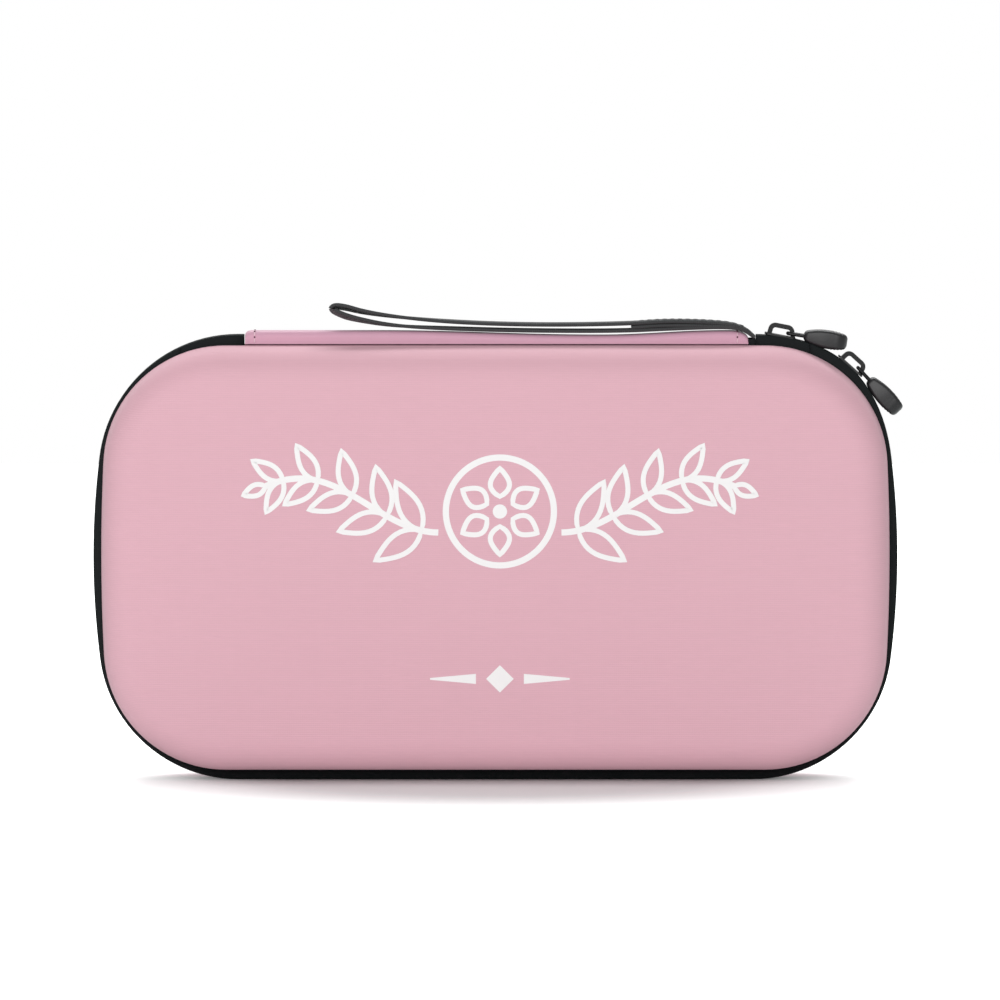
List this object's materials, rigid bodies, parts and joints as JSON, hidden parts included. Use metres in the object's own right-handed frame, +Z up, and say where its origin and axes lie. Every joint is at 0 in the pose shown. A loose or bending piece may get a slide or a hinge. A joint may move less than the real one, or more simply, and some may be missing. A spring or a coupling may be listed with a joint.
{
  "type": "stethoscope hard case",
  "caption": "Flat moulded hard case with two fabric-covered clamshell halves, a zip with two sliders and rubber pulls, a fabric spine hinge and a webbing wrist strap.",
  "frame": {"origin": "on the surface the case stands on, under the middle of the zip band", "axes": "+X along the case to the slider end, +Z up to the spine hinge, -Y out of the lid's face"},
  "size_m": [0.2717, 0.056, 0.1599],
  "materials": {
    "cover_weave": "pink plain-weave polyester laminated to foam",
    "pressed_foam": "heat-pressed closed-cell foam",
    "brushed_lining": "dark brushed knit",
    "bound_edge": "dark woven edging tape",
    "zip_tape": "dark grey knitted zip tape, reverse side out",
    "zip_chain": "dark nylon spiral",
    "inner_webbing": "dark flat elastic webbing",
    "hook_and_loop": "dark hook and loop tape",
    "net": "dark open mesh",
    "spine_fabric": "pink-mauve smooth coated fabric",
    "slider_enamel": "black gloss enamel",
    "link_enamel": "black gloss enamel",
    "moulded_rubber": "black moulded rubber with a soft sheen",
    "strap_webbing": "dark grey ribbed webbing"
  },
  "bodies": {
    "base": {"base_cover_fabric": "cover_weave", "base_foam_shell": "pressed_foam", "base_lining": "brushed_lining", "base_rim_binding": "bound_edge", "base_zip_tape": "zip_tape", "base_zip_coil": "zip_chain", "hold_down_strap_lower": "inner_webbing", "hold_down_strap_upper": "inner_webbing", "loop_patch": "hook_and_loop", "hook_patch": "hook_and_loop"},
    "spine": {"hinge_strip": "spine_fabric", "hinge_lining": "brushed_lining", "zip_end_tape_right": "zip_tape", "zip_end_coil_right": "zip_chain", "zip_end_tape_left": "zip_tape", "zip_end_coil_left": "zip_chain"},
    "lid": {"lid_cover_fabric": "cover_weave", "lid_foam_shell": "pressed_foam", "lid_lining": "brushed_lining", "lid_rim_binding": "bound_edge", "lid_zip_tape": "zip_tape", "lid_zip_coil": "zip_chain", "net_pocket": "net", "pocket_hem": "bound_edge"},
    "slider_1": {"slider_1": "slider_enamel"},
    "pull_1": {"pull_link_1": "link_enamel", "pull_tag_1": "moulded_rubber"},
    "slider_2": {"slider_2": "slider_enamel"},
    "pull_2": {"pull_link_2": "link_enamel", "pull_tag_2": "moulded_rubber"},
    "wrist_strap": {"wrist_strap": "strap_webbing"}
  },
  "joints": [
    {"name": "spine_fold", "type": "hinge", "parent": "base", "child": "spine", "pos_m": [0, 0.005, 0.14625], "axis": [-1, 0, 0], "range_deg": [0, 90]},
    {"name": "lid_fold", "type": "hinge", "parent": "spine", "child": "lid", "pos_m": [0, -0.005, 0.14625], "axis": [-1, 0, 0], "range_deg": [0, 90]},
    {"name": "slider_1_run", "type": "hinge", "parent": "spine", "child": "slider_1", "pos_m": [0.08651, 0, 0.1029], "axis": [0, 1, 0], "range_deg": [-2.5, 0]},
    {"name": "slider_2_run", "type": "hinge", "parent": "base", "child": "slider_2", "pos_m": [0.08651, 0, 0.1029], "axis": [0, 1, 0], "range_deg": [0, 33]},
    {"name": "pull_1_swing", "type": "hinge", "parent": "slider_1", "child": "pull_1", "pos_m": [0.09816, 0, 0.14999], "axis": [0, -1, 0], "range_deg": [0, 90]},
    {"name": "pull_2_swing", "type": "hinge", "parent": "slider_2", "child": "pull_2", "pos_m": [0.12175, 0, 0.13838], "axis": [0, -1, 0], "range_deg": [0, 120]},
    {"name": "strap_swing", "type": "hinge", "parent": "spine", "child": "wrist_strap", "pos_m": [0.08606, 0, 0.1495], "axis": [0, 1, 0], "range_deg": [0, 90]}
  ],
  "couplings": [
    {"joint": "lid_fold", "follows": "spine_fold", "ratio": 1}
  ]
}
